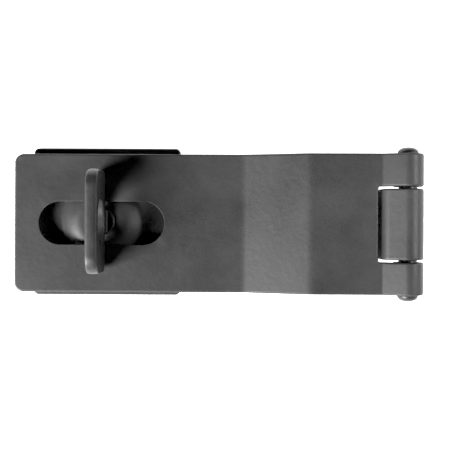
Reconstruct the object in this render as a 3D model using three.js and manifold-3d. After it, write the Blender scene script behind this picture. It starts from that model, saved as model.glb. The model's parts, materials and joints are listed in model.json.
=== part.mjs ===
// Safety hasp with a swivel eye, closed and locked: the eye stands across the strap's slot.
// Millimetres, +Z up. X runs along the strap with the hinge at +X, Y across it; z = 0 is the mounting face.
import * as THREE from 'three';
import * as BufferGeometryUtils from 'three/addons/utils/BufferGeometryUtils.js';
import Module from 'manifold-3d';

const wasm = await Module();
wasm.setup();

// Overall
const LENGTH = 114.3;
const STRAP_WIDTH = 39;
const SHEET = 1.7;

// Hinge
const PIN_R = 2.5;
const RUNNING_FIT = 0.06;
const BORE_R = PIN_R + RUNNING_FIT;
const BARREL_R = BORE_R + SHEET;
const CURL_R = BORE_R + SHEET / 2;
const PIN_X = LENGTH / 2 - BARREL_R;
const PIN_Z = 10;
const CURL_END = THREE.MathUtils.degToRad(-172);
const MIDDLE_KNUCKLE = 19.6;
const KNUCKLE_GAP = 0.65;
const HEAD_R = 2.85;
const HEAD_HEIGHT = 1.8;
const INCLINE_START = 7.2;

// Strap, measured from the pin towards -X
const STRAP_END = LENGTH - BARREL_R;
const LOW_TOP = 6.3;
const HIGH_TOP = 11.6;
const JOGGLE_HIGH = 27;
const JOGGLE_LOW = 45.3;
const JOGGLE_BEND_R = 7;
const INCLINE_BEND_R = 2.2;
const END_CORNER_R = 2.6;
const SLOT_CENTRE = 85.45;
const SLOT_LENGTH = 35.3;
const SLOT_WIDTH = 12.1;
const WINDOW_EDGE = 8.4;

// Fixed leaf
const LEAF_END = 39.5;
const LEAF_WIDTH = 38;
const LEAF_CORNER_R = 2;
const RISER_X = 6.6;
const RISER_BEND_R = 2.4;
const LEAF_HOLES_X = [15.5, 31];
const LEAF_HOLES_Y = 11;

// Staple plate, placed from the swivel's axis
const SWIVEL_FROM_PIN = 85.89;
const SWIVEL_Y = 0.4;
const PLATE = 42.2;
const PLATE_OFFSET = 1.3;
const PLATE_SHEET = 2;
const PLATE_CORNER_R = 1.4;
const BOSS_R = 12.4;
const BOSS_FLAT_R = 6.2;
const BOSS_HOLLOW_INSET = 0.6;
const BOSS_RISE = 2.35;
const BOSS_STEPS = 8;
const PLATE_HOLES = 14.6;

// Countersunk fixing holes
const HOLE_R = 2.4;
const SINK_R = 4.4;

// Swivel eye
const EYE_WIDTH = 28.4;
const EYE_SHEET = 3.15;
const EYE_TOP = 20.5;
const EYE_CORNER_R = 4.8;
const EYE_FOOT_R = 2.2;
const EYE_FOOT_GAP = 0.6;
const EYE_HOLE_WIDTH = 12.3;
const EYE_HOLE_HEIGHT = 10;
const EYE_HOLE_WALL = 1.15;
const COLLAR_R = 4;
const COLLAR_SHEET = 0.8;
const TONGUE_WIDTH = 6.8;
const TONGUE_CORNER_R = 0.4;
const SHANK_R = 3.2;
const BOSS_HOLE_R = SHANK_R + RUNNING_FIT;
const PEEN_R = 4.4;
const PEEN_BOTTOM = 0.35;
const PEEN_CHAMFER = [1.2, 0.6];
const WASHER_R = 5.3;
const WASHER_SHEET = 0.8;
const REST_GAP = 0.05;

// Cutting tools reach this far past what they cut, and joined forms this far into each other
const PAST = 1;
const INTO = 0.1;

const ROUND = 48;
const CURVE_SEGMENTS = ROUND / 4;
const BEND_STEP = THREE.MathUtils.degToRad(7.5);

// ---- geometry helpers ----

function solid(geometry) {
  const bare = geometry.index ? geometry.toNonIndexed() : geometry.clone();
  bare.deleteAttribute('normal');
  bare.deleteAttribute('uv');
  const merged = BufferGeometryUtils.mergeVertices(bare, 1e-4);
  return new wasm.Manifold(new wasm.Mesh({
    numProp: 3,
    vertProperties: new Float32Array(merged.attributes.position.array),
    triVerts: new Uint32Array(merged.index.array),
  }));
}

function geometryOf(manifold) {
  const mesh = manifold.getMesh();
  const geometry = new THREE.BufferGeometry();
  geometry.setAttribute('position', new THREE.BufferAttribute(mesh.vertProperties, 3));
  geometry.setIndex(new THREE.BufferAttribute(mesh.triVerts, 1));
  geometry.computeVertexNormals();
  return geometry;
}

function named(name, manifold, material) {
  const mesh = new THREE.Mesh(geometryOf(manifold), material);
  mesh.name = name;
  return mesh;
}

// A flat outline in X and Y as an extrusion from z0 to z1.
function extruded(shape, z0, z1) {
  const settings = { depth: z1 - z0, bevelEnabled: false, curveSegments: CURVE_SEGMENTS };
  const geometry = new THREE.ExtrudeGeometry(shape, settings);
  geometry.translate(0, 0, z0);
  return geometry;
}

function prism(shape, z0, z1) {
  return solid(extruded(shape, z0, z1));
}

function box(x0, x1, y0, y1, z0, z1) {
  const geometry = new THREE.BoxGeometry(x1 - x0, y1 - y0, z1 - z0);
  geometry.translate((x0 + x1) / 2, (y0 + y1) / 2, (z0 + z1) / 2);
  return solid(geometry);
}

// An outline of [radius, z] points turned about Z. It starts and ends on the axis, or is closed into a ring.
function turned(outline, segments = ROUND) {
  const profile = outline.map(([r, z]) => new THREE.Vector2(r, z));
  if (THREE.ShapeUtils.area(profile) < 0) {
    profile.reverse();
  }
  if (profile[0].x > 0) {
    profile.push(profile[0]);
  }
  const geometry = new THREE.LatheGeometry(profile, segments);
  geometry.rotateX(Math.PI / 2);
  return solid(geometry);
}

function drill(radius, z0, z1) {
  return turned([[0, z0], [radius, z0], [radius, z1], [0, z1]]);
}

// A rectangle whose corners at -X and at +X have their own radii.
function roundedRect(x0, x1, y0, y1, radiusLeft, radiusRight = radiusLeft) {
  const shape = new THREE.Shape();
  shape.moveTo(x0 + radiusLeft, y0);
  shape.lineTo(x1 - radiusRight, y0);
  shape.absarc(x1 - radiusRight, y0 + radiusRight, radiusRight, -Math.PI / 2, 0, false);
  shape.lineTo(x1, y1 - radiusRight);
  shape.absarc(x1 - radiusRight, y1 - radiusRight, radiusRight, 0, Math.PI / 2, false);
  shape.lineTo(x0 + radiusLeft, y1);
  shape.absarc(x0 + radiusLeft, y1 - radiusLeft, radiusLeft, Math.PI / 2, Math.PI, false);
  shape.lineTo(x0, y0 + radiusLeft);
  shape.absarc(x0 + radiusLeft, y0 + radiusLeft, radiusLeft, Math.PI, Math.PI * 1.5, false);
  return shape;
}

// A slot with round ends, its length along X.
function obround(x, y, length, width) {
  const r = width / 2;
  const reach = length / 2 - r;
  const shape = new THREE.Shape();
  shape.absarc(x + reach, y, r, -Math.PI / 2, Math.PI / 2, false);
  shape.absarc(x - reach, y, r, Math.PI / 2, Math.PI * 1.5, false);
  return shape;
}

function arcPoints(centre, radius, from, to) {
  const steps = Math.max(2, Math.ceil(Math.abs(to - from) / BEND_STEP));
  return Array.from({ length: steps + 1 }, (_, i) => {
    const a = from + ((to - from) * i) / steps;
    return new THREE.Vector2(centre.x + radius * Math.cos(a), centre.y + radius * Math.sin(a));
  });
}

// Replaces the corner at b between a and c by an arc of the given radius.
function bend(a, b, c, radius) {
  const before = b.clone().sub(a).normalize();
  const after = c.clone().sub(b).normalize();
  const turn = Math.atan2(before.cross(after), before.dot(after));
  const side = Math.sign(turn);
  const setback = radius * Math.tan(Math.abs(turn) / 2);
  const start = b.clone().addScaledVector(before, -setback);
  const normal = new THREE.Vector2(-before.y, before.x).multiplyScalar(side);
  const centre = start.clone().addScaledVector(normal, radius);
  const from = Math.atan2(start.y - centre.y, start.x - centre.x);
  return arcPoints(centre, radius, from, from + turn);
}

// Angle about the pin at which a straight stretch from the corner runs into the curl.
function touchAngle(corner) {
  return Math.atan2(corner.y, corner.x) - Math.acos(CURL_R / corner.length());
}

// The middle line of a leaf in X and Z, from its free end over the pin, with a bend at each inner corner.
function curledLine(corners, radii) {
  const touch = touchAngle(corners[corners.length - 1]);
  const tangent = new THREE.Vector2(CURL_R * Math.cos(touch), CURL_R * Math.sin(touch));
  const line = [corners[0]];
  corners.slice(1).forEach((corner, i) => {
    line.push(...bend(corners[i], corner, corners[i + 2] ?? tangent, radii[i]));
  });
  line.push(...arcPoints(new THREE.Vector2(), CURL_R, touch, CURL_END));
  return line;
}

// Sheet of the given thickness along a line in X and Z, its width in Y. The line is relative to the pin.
function sheetAlong(line, thickness, width) {
  const left = [];
  const right = [];
  line.forEach((p, i) => {
    const before = line[Math.max(i - 1, 0)];
    const after = line[Math.min(i + 1, line.length - 1)];
    const along = after.clone().sub(before).normalize();
    const out = new THREE.Vector2(-along.y, along.x).multiplyScalar(thickness / 2);
    left.push(p.clone().add(out));
    right.push(p.clone().sub(out));
  });
  const shape = new THREE.Shape([...left, ...right.reverse()]);
  const geometry = extruded(shape, 0, width);
  geometry.rotateX(Math.PI / 2);
  geometry.translate(0, width / 2, 0);
  return solid(geometry);
}

function countersunkHole(x, y, top, sheet) {
  return turned([
    [0, top - sheet - PAST],
    [HOLE_R, top - sheet - PAST],
    [HOLE_R, top - (SINK_R - HOLE_R)],
    [SINK_R, top],
    [SINK_R, top + PAST],
    [0, top + PAST],
  ], ROUND / 2).translate([x, y, 0]);
}

// ---- materials ----

function blackSheetPaint() {
  return new THREE.MeshStandardMaterial({ color: 0x1c1c1d, roughness: 0.5, metalness: 0.2 });
}

function blackPinPaint() {
  return new THREE.MeshStandardMaterial({ color: 0x131314, roughness: 0.42, metalness: 0.3 });
}

function blackCastPaint() {
  return new THREE.MeshStandardMaterial({ color: 0x18181a, roughness: 0.45, metalness: 0.25 });
}

// ---- parts; the hinge parts are built about the pin's axis, the staple parts about the swivel's ----

const STRAP_LOW = LOW_TOP - SHEET / 2 - PIN_Z;
const STRAP_HIGH = HIGH_TOP - SHEET / 2 - PIN_Z;
const INCLINE_CORNER = new THREE.Vector2(-INCLINE_START, STRAP_HIGH);

function strap() {
  const corners = [
    new THREE.Vector2(-STRAP_END, STRAP_LOW),
    new THREE.Vector2(-JOGGLE_LOW, STRAP_LOW),
    new THREE.Vector2(-JOGGLE_HIGH, STRAP_HIGH),
    INCLINE_CORNER,
  ];
  const line = curledLine(corners, [JOGGLE_BEND_R, JOGGLE_BEND_R, INCLINE_BEND_R]);
  const half = STRAP_WIDTH / 2;
  const gap = MIDDLE_KNUCKLE / 2 + KNUCKLE_GAP;
  const outline = roundedRect(-STRAP_END, BARREL_R + END_CORNER_R, -half, half, END_CORNER_R);
  const knuckleWindow = box(-WINDOW_EDGE, BARREL_R + PAST, -gap, gap, -PIN_Z, PIN_Z);
  const slot = prism(obround(-SLOT_CENTRE, 0, SLOT_LENGTH, SLOT_WIDTH), -PIN_Z, PIN_Z);
  return sheetAlong(line, SHEET, STRAP_WIDTH)
    .intersect(prism(outline, -PIN_Z, PIN_Z))
    .subtract(knuckleWindow)
    .subtract(slot);
}

// The riser's top corner lies on the strap's incline, so that both leaves meet the curl at one angle.
function riserTop() {
  const touch = touchAngle(INCLINE_CORNER);
  const slope = -1 / Math.tan(touch);
  return CURL_R * Math.sin(touch) + (-RISER_X - CURL_R * Math.cos(touch)) * slope;
}

function fixedLeaf() {
  const flat = SHEET / 2 - PIN_Z;
  const corners = [
    new THREE.Vector2(-LEAF_END, flat),
    new THREE.Vector2(-RISER_X, flat),
    new THREE.Vector2(-RISER_X, riserTop()),
  ];
  const line = curledLine(corners, [RISER_BEND_R, RISER_BEND_R]);
  const half = LEAF_WIDTH / 2;
  const neck = MIDDLE_KNUCKLE / 2;
  const flatEnd = -RISER_X - RISER_BEND_R;
  const plate = prism(roundedRect(-LEAF_END, flatEnd, -half, half, LEAF_CORNER_R), -2 * PIN_Z, PIN_Z);
  const knuckle = box(flatEnd - LEAF_CORNER_R - PAST, BARREL_R + PAST, -neck, neck, -2 * PIN_Z, PIN_Z);
  let leaf = sheetAlong(line, SHEET, LEAF_WIDTH).intersect(plate.add(knuckle));
  for (const x of LEAF_HOLES_X) {
    for (const y of [-LEAF_HOLES_Y, LEAF_HOLES_Y]) {
      leaf = leaf.subtract(countersunkHole(-x, y, SHEET - PIN_Z, SHEET));
    }
  }
  return leaf;
}

function hingePin() {
  const half = STRAP_WIDTH / 2;
  const quarter = arcPoints(new THREE.Vector2(), 1, 0, Math.PI / 2);
  const dome = quarter.map((p) => [HEAD_R * p.x, half + HEAD_HEIGHT * p.y]);
  dome[dome.length - 1][0] = 0;
  const headUp = [[PIN_R, half], ...dome];
  const headDown = headUp.map(([r, y]) => [r, -y]).reverse();
  const profile = [...headDown, ...headUp].map(([r, y]) => new THREE.Vector2(r, y));
  return solid(new THREE.LatheGeometry(profile, ROUND));
}

// [radius, z] points down the boss's soft slope, from its flat top to its foot.
function bossSlope(topRadius, footZ) {
  return Array.from({ length: BOSS_STEPS + 1 }, (_, i) => {
    const t = i / BOSS_STEPS;
    const z = footZ + (BOSS_RISE * (1 + Math.cos(Math.PI * t))) / 2;
    return [topRadius + (BOSS_R - BOSS_FLAT_R) * t, z];
  });
}

function staplePlate() {
  const half = PLATE / 2;
  const square = roundedRect(PLATE_OFFSET - half, PLATE_OFFSET + half, -half, half, PLATE_CORNER_R);
  const inside = PLATE_SHEET / 4;
  const boss = turned([
    [0, PLATE_SHEET + BOSS_RISE],
    ...bossSlope(BOSS_FLAT_R, PLATE_SHEET),
    [BOSS_R, inside],
    [0, inside],
  ]);
  const hollowR = BOSS_R - BOSS_HOLLOW_INSET;
  const hollow = turned([
    [0, BOSS_RISE],
    ...bossSlope(BOSS_FLAT_R - BOSS_HOLLOW_INSET, 0),
    [hollowR, -PAST],
    [0, -PAST],
  ]);
  const bore = drill(BOSS_HOLE_R, -PAST, PLATE_SHEET + BOSS_RISE + PAST);
  let plate = prism(square, 0, PLATE_SHEET).add(boss).subtract(hollow).subtract(bore);
  for (const x of [PLATE_OFFSET - PLATE_HOLES, PLATE_OFFSET + PLATE_HOLES]) {
    for (const y of [-PLATE_HOLES, PLATE_HOLES]) {
      plate = plate.subtract(countersunkHole(x, y, PLATE_SHEET, PLATE_SHEET));
    }
  }
  return plate;
}

// The flat eye is drawn with the swivel's axis as its X and turned to stand across the strap.
// A narrower tongue of the same thickness reaches down through the slot into the collar.
function eyePlate(foot, shoulder) {
  const half = EYE_WIDTH / 2;
  const outline = roundedRect(foot, EYE_TOP, -half, half, EYE_FOOT_R, EYE_CORNER_R);
  const tongueTop = foot + EYE_HOLE_WALL / 2;
  const tongueOutline = roundedRect(
    shoulder + INTO,
    tongueTop,
    -TONGUE_WIDTH / 2,
    TONGUE_WIDTH / 2,
    TONGUE_CORNER_R,
  );
  const holeZ = foot + EYE_HOLE_WALL + EYE_HOLE_HEIGHT / 2;
  const hole = obround(0, 0, EYE_HOLE_WIDTH, EYE_HOLE_HEIGHT);
  const reach = EYE_SHEET / 2;
  const plate = prism(outline, -reach, reach).add(prism(tongueOutline, -reach, reach));
  const cut = prism(hole, -reach - PAST, reach + PAST).rotate([0, 0, 90]).translate([holeZ, 0, 0]);
  return plate.subtract(cut).rotate([0, -90, 0]);
}

function swivelEye() {
  const foot = LOW_TOP + EYE_FOOT_GAP;
  const shoulder = PLATE_SHEET + BOSS_RISE + REST_GAP;
  const washerBottom = BOSS_RISE - WASHER_SHEET - 2 * REST_GAP;
  const collarTop = shoulder + COLLAR_SHEET;
  const [peenIn, peenUp] = PEEN_CHAMFER;
  const stem = turned([
    [0, PEEN_BOTTOM],
    [PEEN_R - peenIn, PEEN_BOTTOM],
    [PEEN_R, PEEN_BOTTOM + peenUp],
    [PEEN_R, washerBottom],
    [SHANK_R, washerBottom],
    [SHANK_R, shoulder],
    [COLLAR_R, shoulder],
    [COLLAR_R, collarTop],
    [0, collarTop],
  ]);
  return eyePlate(foot, shoulder).add(stem);
}

function backingWasher() {
  const top = BOSS_RISE - REST_GAP;
  const bottom = top - WASHER_SHEET;
  return turned([[BOSS_HOLE_R, bottom], [WASHER_R, bottom], [WASHER_R, top], [BOSS_HOLE_R, top]]);
}

// ---- assembly ----

const hasp = new THREE.Group();

const hinge = new THREE.Group();
hinge.position.set(PIN_X, 0, PIN_Z);
hinge.add(named('strap', strap(), blackSheetPaint()));
hinge.add(named('fixed_leaf', fixedLeaf(), blackSheetPaint()));
hinge.add(named('hinge_pin', hingePin(), blackPinPaint()));
hasp.add(hinge);

const staple = new THREE.Group();
staple.position.set(PIN_X - SWIVEL_FROM_PIN, SWIVEL_Y, 0);
staple.add(named('staple_plate', staplePlate(), blackSheetPaint()));
staple.add(named('swivel_eye', swivelEye(), blackCastPaint()));
staple.add(named('backing_washer', backingWasher(), blackPinPaint()));
hasp.add(staple);

export default hasp;
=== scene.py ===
"""A black safety hasp with a swivel eye, closed over its staple plate and locked.

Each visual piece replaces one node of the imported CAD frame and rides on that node's body.
"""

import json
import math

import bpy
import numpy as np
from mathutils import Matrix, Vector, geometry


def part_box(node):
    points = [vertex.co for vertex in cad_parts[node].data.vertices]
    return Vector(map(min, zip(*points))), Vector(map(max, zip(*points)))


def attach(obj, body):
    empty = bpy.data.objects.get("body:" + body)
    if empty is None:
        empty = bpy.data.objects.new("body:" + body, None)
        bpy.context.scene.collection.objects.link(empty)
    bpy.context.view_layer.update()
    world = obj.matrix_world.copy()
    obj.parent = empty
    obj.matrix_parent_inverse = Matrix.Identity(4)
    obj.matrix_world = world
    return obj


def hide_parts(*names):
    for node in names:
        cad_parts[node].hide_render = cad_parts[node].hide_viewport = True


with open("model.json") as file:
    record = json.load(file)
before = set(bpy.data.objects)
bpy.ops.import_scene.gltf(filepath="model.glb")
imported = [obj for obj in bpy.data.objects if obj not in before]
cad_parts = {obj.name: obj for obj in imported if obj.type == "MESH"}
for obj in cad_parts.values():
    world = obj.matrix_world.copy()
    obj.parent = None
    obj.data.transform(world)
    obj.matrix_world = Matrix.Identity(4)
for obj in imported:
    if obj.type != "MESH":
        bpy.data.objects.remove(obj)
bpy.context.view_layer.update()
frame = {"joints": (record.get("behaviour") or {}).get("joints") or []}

MM = 0.001

# ---- Sizes in millimetres ----
# The hinge leaves are measured from the pin's axis and the staple from the swivel's axis.
SHEET = 1.7
PIN_R = 2.5
RUNNING_FIT = 0.06
CURL_R = PIN_R + RUNNING_FIT + SHEET / 2
CURL_END = math.radians(-172)
MIDDLE_KNUCKLE = 19.6
KNUCKLE_GAP = 0.65
INCLINE_START = 7.2
INCLINE_BEND_R = 2.2
HEAD_HEIGHT = 1.8
HEAD_R = 2.85
HEAD_RIM = 0.25
HEAD_CHAMFER = 0.1

LOW_TOP = 6.3
HIGH_TOP = 11.6
JOGGLE_HIGH = 27.0
JOGGLE_LOW = 45.3
JOGGLE_BEND_R = 7.0
END_CORNER_R = 2.6
SLOT_CENTRE = 85.45
SLOT_LENGTH = 35.3
SLOT_WIDTH = 12.1
WINDOW_EDGE = 8.4
WINDOW_CORNER_R = 0.6

LEAF_END = 39.5
LEAF_WIDTH = 38.0
LEAF_CORNER_R = 2.0
NECK_CORNER_R = 0.01
RISER_X = 6.6
RISER_BEND_R = 2.4
LEAF_HOLES_X = (15.5, 31.0)
LEAF_HOLES_Y = 11.0

PLATE = 42.2
PLATE_OFFSET = 1.3
PLATE_SHEET = 2.0
PLATE_CORNER_R = 1.4
PLATE_HOLES = 14.6
BOSS_RISE = 2.35
BOSS_FLAT_R = 5.9
BOSS_FOOT_R = 12.1
HOLE_R = 2.4
SINK_R = 4.4

EYE_WIDTH = 28.4
EYE_SHEET = 3.15
EYE_CORNER_R = 4.8
EYE_FOOT_R = 2.2
EYE_FOOT_GAP = 0.6
SHOULDER_GAP = 0.05
EYE_HOLE_WIDTH = 12.3
EYE_HOLE_HEIGHT = 10.0
EYE_HOLE_WALL = 1.15
EYE_CROWN = 0.3
EYE_HOLE_ROLL = 0.35
TONGUE_WIDTH = 6.8
TONGUE_ROOT_R = 0.8
TONGUE_CORNER_R = 0.4
COLLAR_R = 4.0
COLLAR_SHEET = 0.8
SHANK_R = 3.2
PEEN_R = 4.4
PEEN_LOW = 0.35
WASHER_R = 5.3
WASHER_SHEET = 0.8
WASHER_GAP = 0.05
WASHER_CHAMFER = 0.15

# Edge rounding of the pressed sheet, and the flat margin that keeps its shading tight
DIE_ROLL = 0.5
SLOT_ROLL = 0.2
BURR_ROLL = 0.22
MARGIN = 0.12
EDGE_BAND = DIE_ROLL + MARGIN + 0.1
ROLL_STEPS = 4

joint_at = {joint["name"]: Vector(joint["pos_m"]) for joint in frame["joints"]}
PIN = joint_at["strap_hinge"]
SWIVEL = joint_at["eye_swivel"]
strap_low, strap_high = (Vector(corner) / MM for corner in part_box("strap"))
STRAP_WIDTH = strap_high.y - strap_low.y
STRAP_END = PIN.x / MM - strap_low.x
PIN_Z = PIN.z / MM
EYE_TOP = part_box("swivel_eye")[1][2] / MM


# ---- Outlines ----
def arc_points(centre, radius, start, end, step=math.radians(9)):
    """Points along an arc, both ends included."""
    count = max(2, math.ceil(abs(end - start) / step))
    angles = [start + (end - start) * i / count for i in range(count + 1)]
    x, y = centre
    return [Vector((x + radius * math.cos(a), y + radius * math.sin(a))) for a in angles]


def circle(x, y, radius, count=48):
    """A hole's outline, clockwise."""
    angles = [-math.tau * i / count for i in range(count)]
    return [Vector((x + radius * math.cos(a), y + radius * math.sin(a))) for a in angles]


def outline(corners):
    """A closed outline from (x, y, radius) corners, each rounded by its radius."""
    points = []
    for i, (x, y, radius) in enumerate(corners):
        corner = Vector((x, y))
        before = (corner - Vector(corners[i - 1][:2])).normalized()
        after = (Vector(corners[(i + 1) % len(corners)][:2]) - corner).normalized()
        if radius == 0:
            points.append(corner)
            continue
        turn = math.atan2(before.cross(after), before.dot(after))
        start = corner - before * radius * math.tan(abs(turn) / 2)
        side = math.copysign(1, turn)
        centre = start + Vector((-before.y, before.x)) * side * radius
        first = math.atan2(start.y - centre.y, start.x - centre.x)
        points += arc_points(centre, radius, first, first + turn)
    return points


def slot_outline(x, y, length, width):
    """An obround hole's outline, clockwise."""
    r = width / 2
    reach = length / 2 - r
    step = math.radians(5)
    right = arc_points((x + reach, y), r, math.pi / 2, -math.pi / 2, step)
    left = arc_points((x - reach, y), r, -math.pi / 2, -math.pi * 1.5, step)
    return right + left


def inset_loop(loop, inset):
    """Moves an outline into the material, which lies on its left."""
    moved = []
    for i, point in enumerate(loop):
        before = (point - loop[i - 1]).normalized()
        after = (loop[(i + 1) % len(loop)] - point).normalized()
        left_before = Vector((-before.y, before.x))
        left_after = Vector((-after.y, after.x))
        moved.append(point + (left_before + left_after) * inset / (1 + left_before.dot(left_after)))
    return moved


def split_at(loop, stations):
    """Adds a point to an outline wherever it crosses a station along x."""
    points = []
    for i, point in enumerate(loop):
        after = loop[(i + 1) % len(loop)]
        points.append(point)
        low = min(point.x, after.x) + 1e-4
        high = max(point.x, after.x) - 1e-4
        inside = [s for s in stations if low < s < high]
        for s in sorted(inside, reverse=after.x < point.x):
            points.append(point.lerp(after, (s - point.x) / (after.x - point.x)))
    return points


def inside_loops(points, loops):
    """Which points are inside the outline and outside its holes."""
    x, y = np.array(points).T
    inside = np.zeros(len(x), bool)
    for loop in loops:
        for i, a in enumerate(loop):
            b = loop[i - 1]
            if a.y != b.y:
                crosses = (a.y > y) != (b.y > y)
                inside ^= crosses & (x < (b.x - a.x) * (y - a.y) / (b.y - a.y) + a.x)
    return inside


# ---- Sheet metal ----
def rolled_edge(thickness, roll=DIE_ROLL):
    """(inset, level) pairs up the cut edge of a sheet.

    It has a small burr radius below and a die roll on top.
    """
    half = thickness / 2
    quarter = [math.pi / 2 * i / ROLL_STEPS for i in range(ROLL_STEPS + 1)]
    below = [(BURR_ROLL * (1 - math.sin(a)), -half + BURR_ROLL * (1 - math.cos(a))) for a in quarter]
    above = [(roll * (1 - math.cos(a)), half - roll * (1 - math.sin(a))) for a in quarter]
    return [(BURR_ROLL + MARGIN, -half), *below, *above, (roll + MARGIN, half)]


def countersunk_edge(thickness):
    """The same for a screw hole with a 90 degree countersink."""
    half = thickness / 2
    sink = SINK_R - HOLE_R
    land = max(thickness - sink, 0.2)
    return [
        (0.3, -half),
        (0.15, -half),
        (0.0, -half + 0.12),
        (0.0, -half + land - 0.05),
        (0.08, -half + land + 0.06),
        (sink - 0.14, half - 0.1),
        (sink - 0.02, half - 0.02),
        (sink + 0.08, half),
        (sink + 0.2, half),
    ]


def cap(loops, rows, spots):
    """Triangles that fill a face. Returns its points and triangles; the loops' points come first."""
    border = [point for loop in loops for point in loop]
    points, edges, start = list(border), [], 0
    for loop in loops:
        edges += [(start + i, start + (i + 1) % len(loop)) for i in range(len(loop))]
        start += len(loop)
    for row in rows:
        edges += [(len(points) + i, len(points) + i + 1) for i in range(len(row) - 1)]
        points += row
    points += spots
    found, _, faces, origins, _, _ = geometry.delaunay_2d_cdt(points, edges, [], 0, 1e-5, True)
    middles = [sum((found[i] for i in face), Vector((0, 0))) / len(face) for face in faces]
    kept = [list(face) for face, keep in zip(faces, inside_loops(middles, loops)) if keep]
    place_of, extra = {}, []
    for i, origin in enumerate(origins):
        on_border = [k for k in origin if k < len(border)]
        place_of[i] = on_border[0] if on_border else None
    for i in sorted({i for face in kept for i in face}):
        if place_of[i] is None:
            place_of[i] = len(border) + len(extra)
            extra.append(found[i])
    return extra, [[place_of[i] for i in face] for face in kept]


def sheet_mesh(name, loops, edges_of, place, rows=(), spots=()):
    """A sheet with the given outline and holes. place(x, y, level) bends the flat sheet into shape."""
    vertices, faces = [], []
    rings = []
    for loop, edge in zip(loops, edges_of):
        loop_rings = []
        for inset, level in edge:
            flat = inset_loop(loop, inset)
            loop_rings.append((len(vertices), flat))
            vertices += [place(p.x, p.y, level) for p in flat]
        for (low, _), (high, _) in zip(loop_rings, loop_rings[1:]):
            count = len(loop)
            for i in range(count):
                j = (i + 1) % count
                faces.append([low + i, low + j, high + j, high + i])
        rings.append(loop_rings)
    for side, order in ((0, -1), (-1, 1)):
        level = edges_of[0][side][1]
        flats = [loop_rings[side][1] for loop_rings in rings]
        starts = [loop_rings[side][0] for loop_rings in rings]
        border = [start + i for start, flat in zip(starts, flats) for i in range(len(flat))]
        inner = [p for p, keep in zip(spots, clear_of(spots, flats)) if keep]
        extra, triangles = cap(flats, [clip_row(row, flats) for row in rows], inner)
        index = border + [len(vertices) + i for i in range(len(extra))]
        vertices += [place(p.x, p.y, level) for p in extra]
        faces += [[index[i] for i in triangle[::order]] for triangle in triangles]
    return mesh_object(name, vertices, faces)


def clip_row(row, loops):
    """Moves the ends of a row onto the nearest points of the outlines."""
    border = [p for loop in loops for p in loop]
    ends = [min(border, key=lambda p: (p - end).length_squared) for end in (row[0], row[-1])]
    return [ends[0], *row[1:-1], ends[1]]


def clear_of(spots, loops, gap=0.5):
    """Which spots are inside the outlines and at least the gap away from them."""
    if not spots:
        return []
    at = np.array(spots)
    near = np.zeros(len(at), bool)
    for loop in loops:
        for i, b in enumerate(loop):
            a = loop[i - 1]
            along = np.array(b - a)
            t = np.clip(((at - np.array(a)) @ along) / (along @ along), 0, 1)
            near |= np.linalg.norm(at - (np.array(a) + t[:, None] * along), axis=1) < gap
    return inside_loops(spots, loops) & ~near


def mesh_object(name, vertices, faces):
    """A smooth-shaded object from points in millimetres."""
    mesh = bpy.data.meshes.new(name)
    mesh.from_pydata([Vector(v) * MM for v in vertices], [], faces)
    mesh.validate()
    mesh.shade_smooth()
    obj = bpy.data.objects.new(name, mesh)
    bpy.context.scene.collection.objects.link(obj)
    weighted = obj.modifiers.new("even_shading", "WEIGHTED_NORMAL")
    weighted.keep_sharp = True
    return obj


# ---- The leaves' bent line, in X and Z from the pin's axis ----
def curled_segments(corners, radii):
    """(start, heading, length, curvature) from a leaf's free end, by its bends and round the pin."""
    last = corners[-1]
    touch = math.atan2(last.y, last.x) - math.acos(CURL_R / last.length)
    tangent = Vector((math.cos(touch), math.sin(touch))) * CURL_R
    points = [*corners, tangent]
    segments, at = [], corners[0]
    for before, corner, after, radius in zip(points, points[1:], points[2:], radii):
        into = (corner - before).normalized()
        out = (after - corner).normalized()
        turn = math.atan2(into.cross(out), into.dot(out))
        setback = radius * math.tan(abs(turn) / 2)
        heading = math.atan2(into.y, into.x)
        bend_start = corner - into * setback
        segments.append((at, heading, (bend_start - at).length, 0.0))
        segments.append((bend_start, heading, radius * abs(turn), math.copysign(1 / radius, turn)))
        at = corner + out * setback
    heading = math.atan2(tangent.y - at.y, tangent.x - at.x)
    segments.append((at, heading, (tangent - at).length, 0.0))
    segments.append((tangent, heading, CURL_R * (touch - CURL_END), -1 / CURL_R))
    return segments


def total_length(segments):
    return sum(segment[2] for segment in segments)


def point_on(segments, s):
    """The middle line's point and its upward normal at a distance s."""
    for start, heading, length, curvature in segments:
        if s <= length + 1e-6 or segments[-1][0] is start:
            break
        s -= length
    turned = heading + curvature * s
    if curvature:
        swept = (math.sin(turned) - math.sin(heading), math.cos(heading) - math.cos(turned))
        along = Vector(swept) / curvature
    else:
        along = Vector((math.cos(heading), math.sin(heading))) * s
    return start + along, Vector((-math.sin(turned), math.cos(turned)))


def on_leaf(segments):
    """Bends a flat (distance, y, level) onto a leaf."""
    def place(s, y, level):
        point, normal = point_on(segments, s)
        at = point + normal * level
        return Vector((at.x + PIN.x / MM, y, at.y + PIN_Z))
    return place


def bend_stations(segments, step=math.radians(6)):
    """Distances at which the sheet is divided, through its bends and along the straights between."""
    stations, s = [], 0.0
    for i, (_, _, length, curvature) in enumerate(segments):
        if curvature:
            count = math.ceil(length * abs(curvature) / step)
            stations += [s + length * k / count for k in range(count + 1)]
        elif i:
            count = math.ceil(length / 2.5)
            stations += [s + length * k / count for k in range(1, count)]
        s += length
    return sorted({round(station, 5) for station in stations})


def rows_across(stations, bands, spacing=2.2):
    """Rows of points across the sheet at each station.

    bands(s) gives the (low, high) stretches of sheet there.
    """
    rows = []
    for s in stations:
        for low, high in bands(s):
            count = max(1, round((high - low) / spacing))
            rows.append([Vector((s, low + (high - low) * k / count)) for k in range(count + 1)])
    return rows


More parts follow.
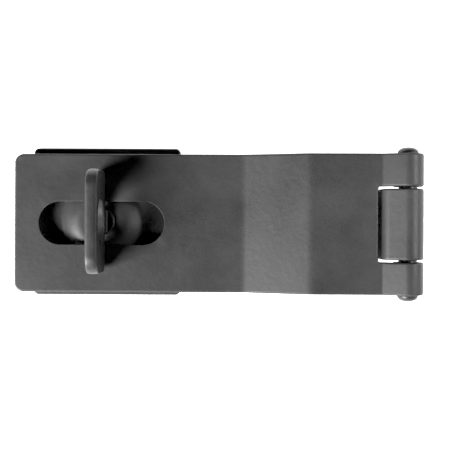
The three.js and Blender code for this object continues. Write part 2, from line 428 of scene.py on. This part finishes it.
def grid(x0, x1, y0, y1, spacing):
    """Evenly spread points over a rectangle."""
    across = round((x1 - x0) / spacing)
    up = round((y1 - y0) / spacing)
    return [
        Vector((x0 + (x1 - x0) * i / across, y0 + (y1 - y0) * j / up))
        for i in range(across + 1)
        for j in range(up + 1)
    ]


# ---- Pieces ----
def make_strap():
    low = LOW_TOP - SHEET / 2 - PIN_Z
    high = HIGH_TOP - SHEET / 2 - PIN_Z
    line = ((-STRAP_END, low), (-JOGGLE_LOW, low), (-JOGGLE_HIGH, high), (-INCLINE_START, high))
    bends = [JOGGLE_BEND_R, JOGGLE_BEND_R, INCLINE_BEND_R]
    segments = curled_segments([Vector(corner) for corner in line], bends)
    end = total_length(segments)
    window = sum(segment[2] for segment in segments[:4]) + (-WINDOW_EDGE - segments[4][0].x)
    half = STRAP_WIDTH / 2
    gap = MIDDLE_KNUCKLE / 2 + KNUCKLE_GAP
    outer = outline([
        (0, -half, END_CORNER_R),
        (end, -half, 0),
        (end, -gap, 0),
        (window, -gap, WINDOW_CORNER_R),
        (window, gap, WINDOW_CORNER_R),
        (end, gap, 0),
        (end, half, 0),
        (0, half, END_CORNER_R),
    ])
    stations = [s for s in bend_stations(segments) if s < end - EDGE_BAND]
    outer = split_at(outer, stations)
    slot = slot_outline(STRAP_END - SLOT_CENTRE, 0, SLOT_LENGTH, SLOT_WIDTH)

    def bands(s):
        if s < window - DIE_ROLL - MARGIN:
            return [(-half, half)]
        return [(-half, -gap), (gap, half)]

    bent = [s for s in stations if s < window - 1 or s > window + 0.2]
    rows = rows_across(bent, bands)
    spots = grid(0, segments[0][2] - 0.5, -half, half, 1.5)
    edges_of = [rolled_edge(SHEET), rolled_edge(SHEET, SLOT_ROLL)]
    return sheet_mesh("strap_sheet", [outer, slot], edges_of, on_leaf(segments), rows, spots)


def make_fixed_leaf():
    flat = SHEET / 2 - PIN_Z
    incline = Vector((-INCLINE_START, HIGH_TOP - SHEET / 2 - PIN_Z))
    touch = math.atan2(incline.y, incline.x) - math.acos(CURL_R / incline.length)
    slope = -1 / math.tan(touch)
    riser_top = CURL_R * math.sin(touch) + (-RISER_X - CURL_R * math.cos(touch)) * slope
    line = ((-LEAF_END, flat), (-RISER_X, flat), (-RISER_X, riser_top))
    segments = curled_segments([Vector(corner) for corner in line], [RISER_BEND_R, RISER_BEND_R])
    end = total_length(segments)
    shoulder = segments[0][2]
    half, neck = LEAF_WIDTH / 2, MIDDLE_KNUCKLE / 2
    outer = outline([
        (0, -half, LEAF_CORNER_R),
        (shoulder, -half, LEAF_CORNER_R),
        (shoulder, -neck, NECK_CORNER_R),
        (end, -neck, 0),
        (end, neck, 0),
        (shoulder, neck, NECK_CORNER_R),
        (shoulder, half, LEAF_CORNER_R),
        (0, half, LEAF_CORNER_R),
    ])
    stations = [s for s in bend_stations(segments) if shoulder + 0.3 < s < end - EDGE_BAND]
    outer = split_at(outer, stations)
    rows_y = (-LEAF_HOLES_Y, LEAF_HOLES_Y)
    holes = [circle(LEAF_END - x, y, HOLE_R) for x in LEAF_HOLES_X for y in rows_y]
    rows = rows_across(stations, lambda s: [(-neck, neck)])
    spots = grid(0, shoulder - 0.5, -half, half, 1.8)
    edges_of = [rolled_edge(SHEET)] + [countersunk_edge(SHEET)] * len(holes)
    return sheet_mesh("fixed_leaf_sheet", [outer, *holes], edges_of, on_leaf(segments), rows, spots)


def boss_height(r):
    """Height and slope of the staple plate's middle surface at a radius from the swivel."""
    t = min(max((r - BOSS_FLAT_R) / (BOSS_FOOT_R - BOSS_FLAT_R), 0), 1)
    height = BOSS_RISE * (1 + math.cos(math.pi * t)) / 2
    slope = -BOSS_RISE * math.pi / 2 * math.sin(math.pi * t) / (BOSS_FOOT_R - BOSS_FLAT_R)
    return height, slope


def on_plate(x, y, level):
    """Presses a flat (x, y, level) round the swivel into the plate with its boss."""
    r = math.hypot(x, y)
    height, slope = boss_height(r)
    stretch = 1 / math.hypot(1, slope)
    outward = 1 - level * slope * stretch / max(r, 0.01)
    return Vector((
        SWIVEL.x / MM + x * outward,
        SWIVEL.y / MM + y * outward,
        PLATE_SHEET / 2 + height + level * stretch,
    ))


def make_staple_plate():
    half = PLATE / 2
    left, right = PLATE_OFFSET - half, PLATE_OFFSET + half
    corners = ((left, -half), (right, -half), (right, half), (left, half))
    outer = outline([(*corner, PLATE_CORNER_R) for corner in corners])
    bore = circle(0, 0, SHANK_R + RUNNING_FIT)
    at = (-PLATE_HOLES, PLATE_HOLES)
    holes = [circle(PLATE_OFFSET + x, y, HOLE_R) for x in at for y in at]
    ring_radii = [SHANK_R + 0.9 + 0.55 * k for k in range(18)]
    rings = [p for r in ring_radii for p in circle(0, 0, r, 72)]
    spots = rings + [p for p in grid(left, right, -half, half, 1.6) if p.length > ring_radii[-1] + 0.8]
    edge = rolled_edge(PLATE_SHEET)
    edges_of = [edge, edge] + [countersunk_edge(PLATE_SHEET)] * len(holes)
    return sheet_mesh("staple_plate_sheet", [outer, bore, *holes], edges_of, on_plate, (), spots)


def turned_mesh(profile, place, ring=False, count=64):
    """A profile of (radius, distance) points turned about an axis, which place(u, v, w) sets."""
    vertices, faces = [], []
    rings = []
    for radius, along in profile:
        if radius == 0:
            rings.append([len(vertices)] * count)
            vertices.append(place(0, 0, along))
            continue
        rings.append(list(range(len(vertices), len(vertices) + count)))
        angles = [math.tau * i / count for i in range(count)]
        vertices += [place(radius * math.cos(a), radius * math.sin(a), along) for a in angles]
    upper = [*rings[1:], rings[0]] if ring else rings[1:]
    for low, high in zip(rings, upper):
        for i in range(count):
            j = (i + 1) % count
            face = [low[i], low[j], high[j], high[i]]
            faces.append(list(dict.fromkeys(face)))
    return vertices, faces


def make_hinge_pin():
    half = STRAP_WIDTH / 2
    seat = half + 0.01
    rise = HEAD_HEIGHT - HEAD_RIM
    turns = [math.pi / 2 * i / 10 for i in range(11)]
    dome = [(HEAD_R * math.cos(a) ** 0.8, half + HEAD_RIM + rise * math.sin(a)) for a in turns]
    dome[-1] = (0, dome[-1][1])
    upper = [
        (PIN_R, 0.2),
        (PIN_R, seat),
        (HEAD_R - HEAD_CHAMFER, seat),
        (HEAD_R, half + HEAD_CHAMFER),
        *dome,
    ]
    profile = [(r, -y) for r, y in reversed(upper)] + upper

    def place(u, v, w):
        return Vector((PIN.x / MM + v, w, PIN_Z + u))

    return mesh_object("hinge_pin_riveted", *turned_mesh(profile, place))


def upright(u, v, w):
    """Sets a turned profile on the swivel's axis."""
    return Vector((SWIVEL.x / MM + u, SWIVEL.y / MM + v, w))


def crowned_edge(thick, crown):
    """(inset, level) pairs over a forged edge: a soft crown from one face to the other."""
    turns = [math.pi * (i / 12 - 0.5) for i in range(13)]
    return [(crown * (1 - math.cos(a)), thick * math.sin(a)) for a in turns]


def make_swivel_eye():
    foot = LOW_TOP + EYE_FOOT_GAP
    shoulder = PLATE_SHEET + BOSS_RISE + SHOULDER_GAP
    half, tongue = EYE_WIDTH / 2, TONGUE_WIDTH / 2
    plate = outline([
        (-half, foot, EYE_FOOT_R),
        (-tongue, foot, TONGUE_ROOT_R),
        (-tongue, shoulder + 0.1, TONGUE_CORNER_R),
        (tongue, shoulder + 0.1, TONGUE_CORNER_R),
        (tongue, foot, TONGUE_ROOT_R),
        (half, foot, EYE_FOOT_R),
        (half, EYE_TOP, EYE_CORNER_R),
        (-half, EYE_TOP, EYE_CORNER_R),
    ])
    hole_z = foot + EYE_HOLE_WALL + EYE_HOLE_HEIGHT / 2
    hole = slot_outline(0, hole_z, EYE_HOLE_WIDTH, EYE_HOLE_HEIGHT)
    thick = EYE_SHEET / 2
    roll = EYE_HOLE_ROLL
    quarter = [math.pi / 2 * i / 4 for i in range(5)]
    above = [(roll * (1 - math.cos(a)), thick - roll * (1 - math.sin(a))) for a in quarter]
    hole_edge = [(inset, -level) for inset, level in reversed(above)] + above
    edges_of = [crowned_edge(thick, EYE_CROWN), hole_edge]

    def place(y, z, level):
        return Vector((SWIVEL.x / MM + level, SWIVEL.y / MM + y, z))

    eye = sheet_mesh("swivel_eye_forged", [plate, hole], edges_of, place)
    stem = mesh_object("stem", *turned_mesh(stem_profile(shoulder), upright))
    return forged_together(eye, stem)


def stem_profile(shoulder):
    """(radius, height) from the peened end up the shank to the top of the collar."""
    washer_bottom = BOSS_RISE - 2 * WASHER_GAP - WASHER_SHEET
    collar_top = shoulder + COLLAR_SHEET
    return [
        (0, PEEN_LOW),
        (PEEN_R - 1.6, PEEN_LOW + 0.03),
        (PEEN_R - 0.5, 0.6),
        (PEEN_R, washer_bottom - 0.15),
        (PEEN_R, washer_bottom),
        (SHANK_R, washer_bottom),
        (SHANK_R, shoulder),
        (COLLAR_R - 0.2, shoulder),
        (COLLAR_R, shoulder + 0.2),
        (COLLAR_R, collar_top - 0.25),
        (COLLAR_R - 0.25, collar_top),
        (0, collar_top),
    ]


def forged_together(body, other, voxel=0.22 * MM, rounds=5):
    """Joins two closed forms into one casting-like skin with softened inner corners."""
    joined = body.modifiers.new("join", "BOOLEAN")
    joined.operation = "UNION"
    joined.solver = "EXACT"
    joined.object = other
    skin = body.modifiers.new("skin", "REMESH")
    skin.mode = "VOXEL"
    skin.voxel_size = voxel
    soften = body.modifiers.new("soften", "SMOOTH")
    soften.factor = 0.5
    soften.iterations = rounds
    graph = bpy.context.evaluated_depsgraph_get()
    mesh = bpy.data.meshes.new_from_object(body.evaluated_get(graph))
    mesh.name = body.name
    mesh.shade_smooth()
    body.modifiers.clear()
    body.data = mesh
    bpy.data.objects.remove(other)
    return body


def make_washer():
    inner = SHANK_R + RUNNING_FIT
    top = BOSS_RISE - WASHER_GAP
    bottom = top - WASHER_SHEET
    ring = [
        (inner, bottom + 0.1),
        (inner + 0.1, bottom),
        (WASHER_R - WASHER_CHAMFER, bottom),
        (WASHER_R, bottom + WASHER_CHAMFER),
        (WASHER_R, top - WASHER_CHAMFER),
        (WASHER_R - WASHER_CHAMFER, top),
        (inner + 0.1, top),
        (inner, top - 0.1),
    ]
    return mesh_object("washer_turned", *turned_mesh(ring, upright, ring=True))


# ---- Materials ----
# How much lighter the coat is on its polished edges
POLISH = 1.5


class Nodes:
    """A short way to add and link shader nodes."""

    def __init__(self, name):
        self.material = bpy.data.materials.new(name)
        self.material.use_nodes = True
        self.tree = self.material.node_tree
        self.tree.nodes.clear()

    def add(self, kind, inputs=None, **settings):
        node = self.tree.nodes.new(kind)
        for key, value in settings.items():
            setattr(node, key, value)
        for key, value in (inputs or {}).items():
            if isinstance(value, bpy.types.NodeSocket):
                self.tree.links.new(value, node.inputs[key])
            else:
                node.inputs[key].default_value = value
        return node

    def noise(self, place, size_mm, detail=2.0, roughness=0.5):
        """Noise whose blotches are about size_mm across."""
        scale = 1 / (size_mm * MM)
        inputs = {"Vector": place, "Scale": scale, "Detail": detail, "Roughness": roughness}
        return self.add("ShaderNodeTexNoise", inputs).outputs["Fac"]

    def spread(self, value, low, high, start=0.3, end=0.7):
        """Stretches a value from start..end to low..high."""
        inputs = {"Value": value, "From Min": start, "From Max": end, "To Min": low, "To Max": high}
        return self.add("ShaderNodeMapRange", inputs).outputs["Result"]


def black_coat(name, colour, roughness, grain=0.01, peel=0.035):
    """Satin black powder coat with grain, orange peel, soft smudges and slightly polished edges."""
    n = Nodes(name)
    place = n.add("ShaderNodeTexCoord").outputs["Object"]
    fine = n.noise(place, 0.45, 3.0, 0.6)
    wave = n.noise(place, 1.6, 1.0)
    smudge = n.noise(place, 14.0, 4.0, 0.6)
    pointed = n.add("ShaderNodeNewGeometry").outputs["Pointiness"]
    worn = n.spread(pointed, 0.0, 1.0, 0.52, 0.62)
    tint = n.spread(smudge, 0.8, 1.2)
    speck = n.spread(fine, 0.9, 1.1)
    shade = n.add("ShaderNodeMath", {0: tint, 1: speck}, operation="MULTIPLY").outputs[0]
    base = n.add("ShaderNodeVectorMath", {0: colour, "Scale": shade}, operation="SCALE").outputs[0]
    polished = (*(c * POLISH for c in colour), 1)
    mixed = n.add("ShaderNodeMix", {"Factor": worn, "A": base, "B": polished}, data_type="RGBA")
    rough_fine = n.spread(fine, -0.05, 0.05)
    rough_smudge = n.spread(smudge, roughness - 0.04, roughness + 0.05)
    rough = n.add("ShaderNodeMath", {0: rough_fine, 1: rough_smudge}, operation="ADD").outputs[0]
    peel_bump = n.add("ShaderNodeBump", {"Height": wave, "Distance": peel * MM, "Strength": 1.0})
    grain_bump = n.add(
        "ShaderNodeBump",
        {"Height": fine, "Distance": grain * MM, "Strength": 1.0, "Normal": peel_bump.outputs["Normal"]},
    )
    coat = n.add("ShaderNodeBsdfPrincipled", {
        "Base Color": mixed.outputs["Result"],
        "Roughness": rough,
        "Normal": grain_bump.outputs["Normal"],
        "IOR": 1.5,
    })
    n.add("ShaderNodeOutputMaterial", {"Surface": coat.outputs["BSDF"]})
    return n.material


def floor_paper():
    """Plain white studio paper, lit until it reads as pure white."""
    n = Nodes("floor_paper")
    place = n.add("ShaderNodeTexCoord").outputs["Object"]
    tone = n.spread(n.noise(place, 60.0, 2.0), 0.86, 0.9)
    colour = n.add("ShaderNodeCombineColor", {"Red": tone, "Green": tone, "Blue": tone}).outputs["Color"]
    paper = n.add("ShaderNodeBsdfPrincipled", {
        "Base Color": colour,
        "Roughness": 0.9,
        "Emission Color": (1, 1, 1, 1),
        "Emission Strength": 1.1,
    })
    n.add("ShaderNodeOutputMaterial", {"Surface": paper.outputs["BSDF"]})
    return n.material


# ---- Build ----
def dress(piece, body, node, material):
    """Gives a piece its material slot and body, and hides the CAD node it replaces."""
    piece.data.materials.clear()
    piece.data.materials.append(material)
    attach(piece, body)
    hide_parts(node)


sheet_black = black_coat("sheet_black", (0.03, 0.03, 0.031), 0.5)
pin_black = black_coat("pin_black", (0.022, 0.022, 0.023), 0.44, grain=0.008)
forged_black = black_coat("forged_black", (0.026, 0.026, 0.027), 0.46, grain=0.012, peel=0.04)

dress(make_strap(), "hasp_strap", "strap", sheet_black)
dress(make_hinge_pin(), "hasp_strap", "hinge_pin", pin_black)
dress(make_fixed_leaf(), "fixed_side", "fixed_leaf", sheet_black)
dress(make_staple_plate(), "fixed_side", "staple_plate", sheet_black)
dress(make_swivel_eye(), "swivel_staple", "swivel_eye", forged_black)
dress(make_washer(), "swivel_staple", "backing_washer", pin_black)


# ---- Studio ----
def area_light(name, target, towards, distance, size, watts):
    """A square soft box that looks at the target from the given direction."""
    data = bpy.data.lights.new(name, "AREA")
    data.shape = "SQUARE"
    data.size = size
    data.energy = watts
    light = bpy.data.objects.new(name, data)
    light.visible_camera = False
    light.location = target + Vector(towards).normalized() * distance
    light.rotation_euler = (target - light.location).to_track_quat("-Z", "Y").to_euler()
    bpy.context.scene.collection.objects.link(light)


FLOOR_SIZE = 3.0
FLOOR_DROP = 0.0003


def make_floor():
    """A square of paper just under the mounting face."""
    reach = FLOOR_SIZE / 2
    corners = ((-reach, -reach), (reach, -reach), (reach, reach), (-reach, reach))
    mesh = bpy.data.meshes.new("floor")
    mesh.from_pydata([(x, y, -FLOOR_DROP) for x, y in corners], [], [[0, 1, 2, 3]])
    mesh.materials.append(floor_paper())
    obj = bpy.data.objects.new("floor", mesh)
    bpy.context.scene.collection.objects.link(obj)
    return obj


make_floor()

MIDDLE = Vector((0, 0, 0.01))
area_light("key_box", MIDDLE, (-0.68, -0.475, 0.56), distance=1.4, size=0.65, watts=62.5)
area_light("fill_box", PIN, (0.71, 0.1, 0.695), distance=0.2, size=0.07, watts=0.32)

# The studio's wall is dark above and as white as the paper in a low band round the horizon.
WALL_DARK = 0.012
WALL_WHITE = 1.1
HORIZON = 0.12
HORIZON_BLUR = 0.01


def studio_world():
    """The dark wall with its white band, which turns dark at the horizon's height."""
    world = bpy.data.worlds.new("studio")
    world.use_nodes = True
    tree = world.node_tree
    direction = tree.nodes.new("ShaderNodeTexCoord").outputs["Generated"]
    split = tree.nodes.new("ShaderNodeSeparateXYZ")
    band = tree.nodes.new("ShaderNodeMapRange")
    band.inputs["From Min"].default_value = HORIZON
    band.inputs["From Max"].default_value = HORIZON + HORIZON_BLUR
    band.inputs["To Min"].default_value = WALL_WHITE
    band.inputs["To Max"].default_value = WALL_DARK
    background = tree.nodes["Background"]
    background.inputs["Color"].default_value = (1, 1, 1, 1)
    tree.links.new(direction, split.inputs[0])
    tree.links.new(split.outputs["Z"], band.inputs["Value"])
    tree.links.new(band.outputs["Result"], background.inputs["Strength"])
    bpy.context.scene.world = world


studio_world()
bpy.context.scene.view_settings.view_transform = "Standard"

# The darkest tone that is shown as black
BLACK_LEVEL = 0.011
bpy.context.scene.view_settings.use_curve_mapping = True
curves = bpy.context.scene.view_settings.curve_mapping
curves.black_level = (BLACK_LEVEL, BLACK_LEVEL, BLACK_LEVEL)
curves.update()

# The camera looks straight down from close above the middle, as if held by hand over a table.
CAMERA_HEIGHT = 0.2063
CAMERA_FOOT = (0.0023, -0.0004)
CAMERA_ROLL = 0.005
CAMERA_LENS = 56.72
camera_data = bpy.data.cameras.new("camera")
camera_data.sensor_width = 36.0
camera_data.lens = CAMERA_LENS
camera_data.clip_start = 0.01
camera = bpy.data.objects.new("camera", camera_data)
camera.location = (*CAMERA_FOOT, CAMERA_HEIGHT)
camera.rotation_euler = (0, 0, CAMERA_ROLL)
bpy.context.scene.collection.objects.link(camera)
bpy.context.scene.camera = camera

bpy.context.view_layer.update()
